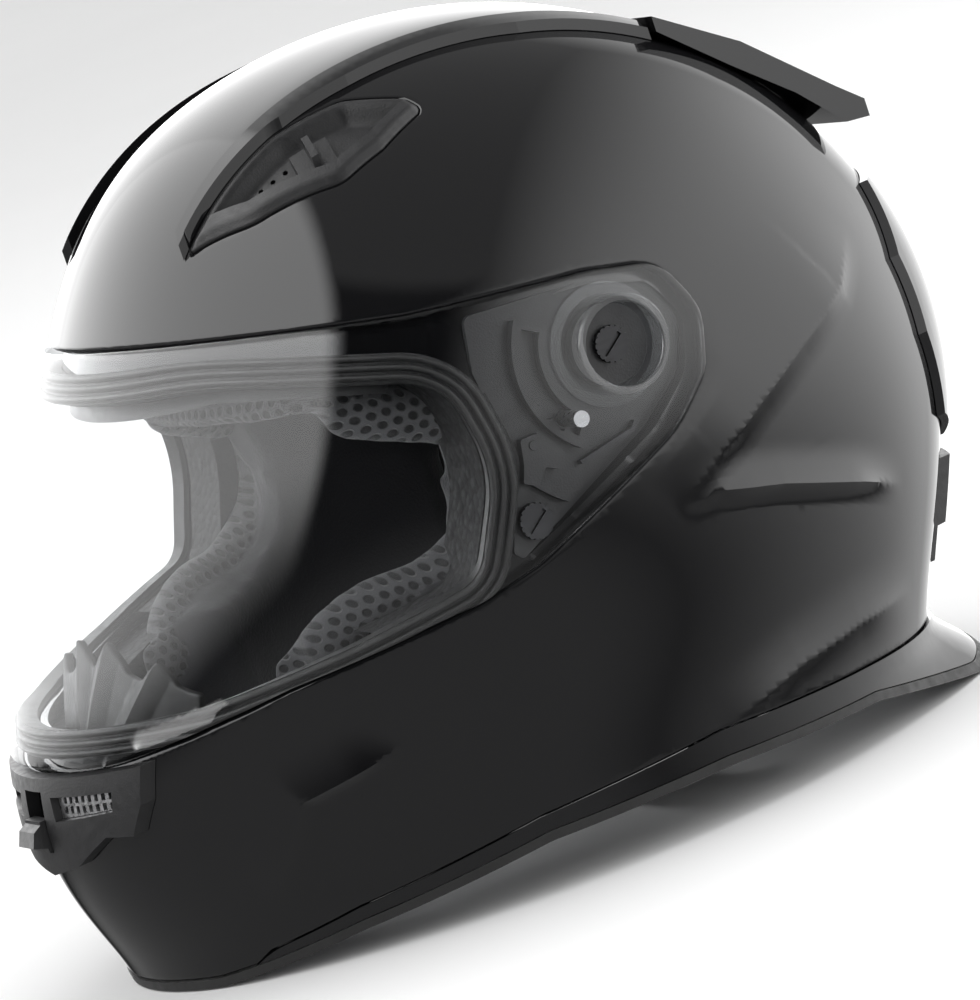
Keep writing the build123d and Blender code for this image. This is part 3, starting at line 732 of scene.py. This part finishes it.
def lining_fabric():
    look = Look("lining_fabric")
    nap = look.noise(1100, 4)
    look.set(Base_Color=look.mix(nap, (0.016, 0.016, 0.018), (0.045, 0.045, 0.05)))
    look.set(Roughness=look.remap(nap, 0.3, 0.7, 0.8, 1.0), Sheen_Weight=0.4)
    look.bump(look.math("ADD", nap, look.noise(140, 3)), 0.0005, 0.7)
    return look.material


def webbing():
    look = Look("webbing")
    ribs = look.add("ShaderNodeTexWave", {"Vector": look.place, "Scale": 260.0},
                    bands_direction="Y").outputs["Fac"]
    picks = look.add("ShaderNodeTexWave", {"Vector": look.place, "Scale": 190.0},
                     bands_direction="X").outputs["Fac"]
    weave = look.math("MULTIPLY", ribs, look.math("ADD", picks, 0.4))
    # Painted shade and highlight: the colour follows the weave's height, darker in its low
    # grooves and lighter on the raised yarns.
    look.set(Base_Color=look.mix(weave, (0.008, 0.008, 0.009), (0.035, 0.035, 0.037)))
    look.set(Roughness=look.remap(look.noise(500), 0.3, 0.7, 0.7, 0.9), Sheen_Weight=0.3)
    look.bump(weave, 0.0004, 0.8)
    return look.material


LOOKS = {
    "gloss_black": gloss_black(),
    "matte_black": matte_black(),
    "trim_rubber": rubber(),
    "clear_visor": clear_visor(),
    "steel": metal("steel", (0.55, 0.55, 0.56), 0.3),
    "brass_insert": metal("brass_insert", (0.72, 0.52, 0.22), 0.32),
    "foam": foam_beads(),
    "mesh_fabric": spacer_mesh("mesh_fabric", "Y"),
    "lining_fabric": lining_fabric(),
    "webbing": webbing(),
}
DARK_METAL = metal("dark_metal", (0.05, 0.05, 0.052), 0.42)
DARKENED = ("pivot_screws", "plate_screws", "lever_spring_left", "lever_spring_right")
BROW_MESH = spacer_mesh("brow_mesh_fabric", "X")


def dress(obj, slot, material=None):
    obj.data.materials.clear()
    obj.data.materials.append(material or LOOKS[slot])


# ---- Shell, visor and gasket -------------------------------------------------------------
def mount(obj, body, slot, *replaced):
    dress(obj, slot)
    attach(obj, body)
    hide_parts(*replaced)


def build_shell():
    patch = Patch(SHELL_GRID)
    patch.keep(shell_edge)
    for level in (0.12 * EDGE_ROUND, 0.45 * EDGE_ROUND, EDGE_ROUND):
        patch.split(shell_edge, level)
    for level in (-STEP_WALL, 0.0, 0.15 * STEP_ROUND, 0.5 * STEP_ROUND, STEP_ROUND):
        patch.split(visor_step, level)
    for level in (-STEP_WALL, 0.0):
        patch.split(mechanism_field, level)
    for line, height, above, below in CREASES:
        for level in (-below, -0.5 * below, 0.0, 0.3 * above):
            patch.split(lambda base: along_line(base, line)[0], level)

    def inner(base):
        step = np.clip(1 + visor_step(base) / STEP_WALL, 0, 1)
        return -SHELL_WALL - RECESS * (1 - step)

    shell = patch.solid("shell_skin", shell_lift, inner, flatten_pocket)
    mount(shell, "helmet", "gloss_black", "outer_shell")


def build_visor():
    patch = Patch(VISOR_GRID)
    patch.keep(visor_edge)
    for level in (0.12, 0.45, 0.9, 2.5, 4.5):
        patch.split(visor_edge, level)
    mount(patch.solid("visor_sheet", visor_lift, visor_under), "visor", "clear_visor",
          "visor_shield")
    for side, sign in (("left", 1), ("right", -1)):
        ring = lathe("visor_pivot_ring_" + side, PIVOT_RING, sign, PIVOT_Y, PIVOT_Z)
        dress(ring, "clear_visor")
        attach(ring, "visor")


def build_vents():
    for side, sign in (("left", 1), ("right", -1)):
        patch = Patch(VENT_GRID)
        patch.crop(lambda base: np.where(base[:, 0] * sign > 0, vent_rim(base), -OUTSIDE), -2.0)
        patch.keep(vent_edge)
        for level in (0.1, 0.35, 0.6, 1.6, 3.0):
            patch.split(vent_rim, level)
        for level in (-1.5, 0.0, 0.25, 0.55, 0.8):
            patch.split(vent_bar, level)
        vent = patch.solid("vent_frame_" + side, vent_lift, flat(VENT_UNDER))
        mount(vent, "helmet", "matte_black", "forehead_vent_" + side)


def build_guard():
    patch = Patch(GUARD_GRID)
    patch.crop(guard_edge, -6.0)
    patch.keep(guard_edge)
    for level in (0.1, 0.4, 0.9):
        patch.split(guard_edge, level)
    for (x1, z1), (x2, z2) in GUARD_FOLDS:
        patch.split(lambda base: (np.abs(base[:, 0]) - x1) * (z2 - z1) / GUARD_FOLD_LENGTH
                    - (base[:, 2] - z1) * (x2 - x1) / GUARD_FOLD_LENGTH)
    guard = patch.solid("breath_guard_folded", guard_lift, guard_under)
    mount(guard, "helmet", "trim_rubber", "breath_guard")


def build_gasket():
    patch = Patch(SHELL_GRID)
    patch.keep(gasket_edge)
    for centre in RIB_CENTRES:
        for share in (-1.0, -0.85, -0.45, 0.0, 0.45, 0.85, 1.0):
            patch.split(gasket_out, centre + share * RIB_HALF)
    gasket = patch.solid("gasket_ribbed", gasket_lift, flat(GASKET_UNDER))
    mount(gasket, "helmet", "trim_rubber", "eyeport_gasket")


# ---- Soft goods --------------------------------------------------------------------------
SIM_FRAMES = 20
MOVE_LIMIT = 0.0035      # metres that the cloth may move a corner
PAD_VOXEL, LINER_VOXEL, THIN_VOXEL, SLEEVE_VOXEL = 0.0035, 0.005, 0.002, 0.0018

# Padded rolls that edge the eyeport, as side-view (y, z) centrelines.
CHEEK_ROLL = ((-119, 84), (-104, 95), (-90, 98), (-74, 97), (-50, 106), (-38, 122), (-32, 137))
BROW_ROLL = ((-92, 168.5), (-81, 165), (-56, 152.5), (-42, 141))
ROLL_R, ROLL_DEPTH = 9.0, 34.0
ROLL_STATIONS, ROLL_SIDES, ROLL_EASINGS = 48, 20, 8
SEAM_AT, SEAM_HALF, SEAM_DEPTH = 0.0108, 0.0022, 0.0012    # metres from the centreline


def apply_modifiers(obj):
    """Puts the modifiers' result in place of the object's mesh."""
    graph = bpy.context.evaluated_depsgraph_get()
    mesh = bpy.data.meshes.new_from_object(obj.evaluated_get(graph))
    obj.modifiers.clear()
    obj.data = mesh


def corners_of(obj):
    flat = np.zeros(len(obj.data.vertices) * 3, np.float32)
    obj.data.vertices.foreach_get("co", flat)
    return flat.reshape(-1, 3)


def puff(obj, pressure):
    """Inflates the cover a little with a short cloth simulation."""
    rest = corners_of(obj)
    cloth = obj.modifiers.new("cloth", "CLOTH")
    cloth.settings.quality = 4
    cloth.settings.mass = 0.15
    cloth.settings.tension_stiffness = 18
    cloth.settings.compression_stiffness = 18
    cloth.settings.bending_stiffness = 0.6
    cloth.settings.use_pressure = True
    cloth.settings.uniform_pressure_force = pressure
    cloth.settings.effector_weights.gravity = 0.0
    cloth.point_cache.frame_start = 1
    cloth.point_cache.frame_end = SIM_FRAMES
    for number in range(1, SIM_FRAMES + 1):
        bpy.context.scene.frame_set(number)
    apply_modifiers(obj)
    bpy.context.scene.frame_set(1)
    moved = corners_of(obj)
    shift = moved - rest
    length = np.linalg.norm(shift, axis=1)
    shift *= np.minimum(1, MOVE_LIMIT / np.maximum(length, 1e-9))[:, None]
    obj.data.vertices.foreach_set("co", (rest + shift).astype(np.float32).ravel())
    obj.data.update()


def roll_path(line, sign):
    """Centreline of a padded roll, from side-view points, at its depth under the skin."""
    line = np.array(line, float)
    done = np.append(0, np.cumsum(np.linalg.norm(np.diff(line, axis=0), axis=1)))
    stations = np.linspace(0, done[-1], ROLL_STATIONS)
    wanted = np.stack([np.interp(stations, done, line[:, k]) for k in (0, 1)], axis=1)
    base, normal = skin(Patch(VISOR_GRID).places)
    base, normal = base[base[:, 0] > 0], normal[base[:, 0] > 0]
    nearest = [np.argmin(np.hypot(*(base[:, 1:] - spot).T)) for spot in wanted]
    path = base[nearest] - ROLL_DEPTH * normal[nearest]
    for _ in range(ROLL_EASINGS):
        path[1:-1] = (path[:-2] + path[1:-1] + path[2:]) / 3
    return path * (sign, 1, 1)


def add_roll(obj, path):
    """Joins a round-ended tube along the path to the object's mesh."""
    done = np.append(0, np.cumsum(np.linalg.norm(np.diff(path, axis=0), axis=1)))
    to_end = np.minimum(done, done[-1] - done)
    radii = ROLL_R * np.sqrt(1 - np.clip(1 - to_end / ROLL_R, 0, 0.98) ** 2)
    tangent = np.gradient(path, axis=0)
    across = np.cross(tangent, (0, 0, 1.0))
    across /= np.linalg.norm(across, axis=1)[:, None]
    up = np.cross(across, tangent / np.linalg.norm(tangent, axis=1)[:, None])
    joined = bmesh.new()
    joined.from_mesh(obj.data)
    rings = []
    for centre, radius, a, b in zip(path, radii, across, up):
        turns = [2 * math.pi * k / ROLL_SIDES for k in range(ROLL_SIDES)]
        corners = [centre + radius * (math.cos(t) * a + math.sin(t) * b) for t in turns]
        rings.append([joined.verts.new(tuple(place(corner))) for corner in corners])
    for one, two in zip(rings[:-1], rings[1:]):
        for k in range(ROLL_SIDES):
            joined.faces.new((one[k - 1], one[k], two[k], two[k - 1]))
    joined.faces.new(rings[0])
    joined.faces.new(rings[-1][::-1])
    joined.to_mesh(obj.data)
    joined.free()


def sew_rolls(obj, path):
    """Presses a seam beside each roll and covers the roll itself in mesh fabric."""
    count = len(obj.data.vertices)
    normal = np.zeros(count * 3, np.float32)
    obj.data.vertices.foreach_get("normal", normal)
    spots, normal = corners_of(obj), normal.reshape(-1, 3)
    away = np.full(count, np.inf)
    for centre in place(path):
        away = np.minimum(away, np.linalg.norm(spots - centre, axis=1))
    off_seam = np.clip(np.abs(away - SEAM_AT) / SEAM_HALF, 0, 1)
    spots = spots - normal * (SEAM_DEPTH * (1 - smooth(off_seam)))[:, None]
    obj.data.vertices.foreach_set("co", spots.astype(np.float32).ravel())
    obj.data.materials.append(LOOKS["mesh_fabric"])
    for face in obj.data.polygons:
        face.material_index = int(away[list(face.vertices)].mean() < SEAM_AT)
    obj.data.update()


def upholster(node, body, slot, voxel=0.0045, pressure=4.0, material=None, paths=()):
    """Soft cover that stands for a CAD pad: remeshed, inflated and smoothed."""
    obj = nodes[node].copy()
    obj.data = nodes[node].data.copy()
    obj.name = node + "_fabric"
    for key in list(obj.keys()):
        del obj[key]
    obj.parent = None
    bpy.context.scene.collection.objects.link(obj)
    for path in paths:
        add_roll(obj, path)
    remesh = obj.modifiers.new("remesh", "REMESH")
    remesh.mode = "VOXEL"
    remesh.voxel_size = voxel
    relax = obj.modifiers.new("relax", "SMOOTH")
    relax.iterations = 3
    apply_modifiers(obj)
    puff(obj, pressure)
    smoothing = obj.modifiers.new("smooth", "SUBSURF")
    smoothing.levels = smoothing.render_levels = 1
    apply_modifiers(obj)
    obj.data.shade_smooth()
    dress(obj, slot, material)
    if paths:
        sew_rolls(obj, np.concatenate(paths))
    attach(obj, body)
    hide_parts(node)


# ---- Carried CAD nodes ---------------------------------------------------------------------
BEVELS = {"lower_skirt": 0.0006, "base_trim": 0.0006, "rear_spoiler": 0.0012,
          "rear_exhaust_panel": 0.0008, "rear_exhaust_fin": 0.0008, "top_rail_left": 0.0009,
          "top_rail_right": 0.0009, "chin_vent_housing": 0.0007}
SMALL_BEVEL = 0.00025


def finish_nodes():
    slots = {row["node"]: row["material_slot"] for row in frame["record"]["subparts"]}
    for name, obj in nodes.items():
        if obj.hide_render:
            continue
        dress(obj, slots[name], DARK_METAL if name in DARKENED else None)
        bevel = obj.modifiers.new("edge", "BEVEL")
        bevel.width = BEVELS.get(name, SMALL_BEVEL)
        bevel.segments = 2
        bevel.limit_method = "ANGLE"
        bevel.angle_limit = math.radians(40)
        bevel.harden_normals = True


# ---- Stage -----------------------------------------------------------------------------------
CENTRE = Vector((0, LENGTH_SHIFT / 1000, 0.1))
TOWARD = Vector((0.8986, -0.40258, 0.17451))     # from the helmet to the camera
RIGHT = Vector((0.43837, 0.84077, -0.3177))      # the picture's right
UP = Vector((-0.01882, 0.36199, 0.93199))        # the picture's up
CAMERA_DISTANCE = 1.9
CAMERA_LENS, CAMERA_SHIFT = 216.4, 0.0087


def aim(obj, position, right, up, toward):
    axes = Matrix((right, up, toward)).transposed().to_4x4()
    obj.matrix_world = Matrix.Translation(position) @ axes


def add_camera():
    camera = bpy.data.cameras.new("camera")
    camera.lens = CAMERA_LENS
    camera.shift_x = CAMERA_SHIFT
    camera.clip_end = 60
    obj = bpy.data.objects.new("camera", camera)
    bpy.context.scene.collection.objects.link(obj)
    aim(obj, CENTRE + TOWARD * CAMERA_DISTANCE, RIGHT, UP, TOWARD)
    bpy.context.scene.camera = obj
    bpy.context.scene.view_settings.view_transform = "Standard"


def softbox(name, right, up, toward, width, height, brightness):
    """Area light at a place given in the picture's axes, facing the helmet."""
    light = bpy.data.lights.new(name, "AREA")
    light.shape = "RECTANGLE"
    light.size, light.size_y = width, height
    light.energy = brightness * math.pi * width * height
    obj = bpy.data.objects.new(name, light)
    obj.visible_glossy = False
    bpy.context.scene.collection.objects.link(obj)
    position = CENTRE + RIGHT * right + UP * up + TOWARD * toward
    back = (position - CENTRE).normalized()
    side = Vector((0, 0, 1)).cross(back).normalized()
    aim(obj, position, side, back.cross(side), back)


def add_stage():
    bpy.ops.mesh.primitive_plane_add(size=40, location=(0, 0, -0.0005))
    floor = bpy.context.object
    floor.name = "floor"
    look = Look("floor_paper")
    look.set(Base_Color=look.mix(look.noise(3, 3), (0.86, 0.86, 0.86), (0.9, 0.9, 0.9)))
    look.set(Roughness=0.9)
    floor.data.materials.append(look.material)
    floor.visible_glossy = False
    softbox("front_left", -1.25, 0.45, 0.75, 1.1, 1.5, 2.0)
    softbox("right", 1.3, 0.75, 0.55, 0.9, 1.3, 2.0)
    softbox("overhead", 0.1, 1.7, -0.2, 1.8, 1.2, 3.0)


# Soft glows that polished surfaces mirror: the direction that each lies in, where it begins and
# is full along that direction, where it begins and is full going up, and its brightness.
GLOWS = (
    ("left", (0.44, 0.54), (-0.25, 0.05), 3.6),
    ("right", (0.0, 0.85), (-0.42, 0.32), 2.5),
    ("behind", (0.45, 0.95), (-0.25, 0.1), 1.6),
    ("left_behind", (0.42, 0.66), (-0.25, 0.1), 3.2),
    ("up", (0.56, 0.66), (0.0, 0.1), 0.35),
)
GROUND_GLOW = 0.36
WORLD_GLOW = 0.75


def add_studio():
    """Even white world for everything but mirror reflections, which see the glows."""
    world = bpy.data.worlds.new("studio")
    world.use_nodes = True
    tree = world.node_tree
    bpy.context.scene.world = world

    def node(kind, inputs, output=0, **settings):
        made = tree.nodes.new(kind)
        for key, value in settings.items():
            setattr(made, key, value)
        for key, value in inputs.items():
            if isinstance(value, bpy.types.NodeSocket):
                tree.links.new(value, made.inputs[key])
            else:
                made.inputs[key].default_value = value
        return made.outputs[output]

    look_along = node("ShaderNodeTexCoord", {}, "Generated")
    axes = {"left": -RIGHT, "right": RIGHT, "behind": -TOWARD, "up": UP,
            "left_behind": -(RIGHT + TOWARD).normalized()}
    along = {name: node("ShaderNodeVectorMath", {0: look_along, 1: tuple(axis)}, "Value",
                        operation="DOT_PRODUCT") for name, axis in axes.items()}

    def ramp(value, start, full):
        limits = {"Value": value, "From Min": start, "From Max": full}
        return node("ShaderNodeMapRange", limits, interpolation_type="SMOOTHSTEP")

    below = node("ShaderNodeMath", {0: 1.0, 1: ramp(along["up"], -0.45, -0.2)},
                 operation="SUBTRACT")
    total = node("ShaderNodeMath", {0: below, 1: GROUND_GLOW}, operation="MULTIPLY")
    for axis, width, height, brightness in GLOWS:
        share = node("ShaderNodeMath", {0: ramp(along[axis], *width),
                                        1: ramp(along["up"], *height)}, operation="MULTIPLY")
        glow = node("ShaderNodeMath", {0: share, 1: brightness}, operation="MULTIPLY")
        total = node("ShaderNodeMath", {0: total, 1: glow}, operation="MAXIMUM")
    mirrored = node("ShaderNodeLightPath", {}, "Is Glossy Ray")
    strength = node("ShaderNodeMix", {0: mirrored, 2: WORLD_GLOW, 3: total}, data_type="FLOAT")
    background = tree.nodes["Background"]
    background.inputs["Color"].default_value = (1, 1, 1, 1)
    tree.links.new(strength, background.inputs["Strength"])


# ---- The scene -------------------------------------------------------------------------------
build_shell()
build_visor()
build_vents()
build_guard()
build_gasket()
for side, sign in (("left", 1), ("right", -1)):
    upholster("cheek_pad_" + side, "helmet", "mesh_fabric", PAD_VOXEL,
              material=LOOKS["lining_fabric"], paths=[roll_path(CHEEK_ROLL, sign)])
upholster("brow_pad", "helmet", "mesh_fabric", PAD_VOXEL, material=BROW_MESH,
          paths=[roll_path(BROW_ROLL, 1), roll_path(BROW_ROLL, -1)])
upholster("comfort_liner", "helmet", "lining_fabric", voxel=LINER_VOXEL)
upholster("neck_roll", "helmet", "lining_fabric")
upholster("chin_curtain", "helmet", "lining_fabric", voxel=THIN_VOXEL, pressure=0.5)
upholster("strap_pad_left", "strap_l", "lining_fabric", voxel=SLEEVE_VOXEL, pressure=2.0)
upholster("strap_pad_right", "strap_r", "lining_fabric", voxel=SLEEVE_VOXEL, pressure=2.0)
finish_nodes()
add_camera()
add_stage()
add_studio()
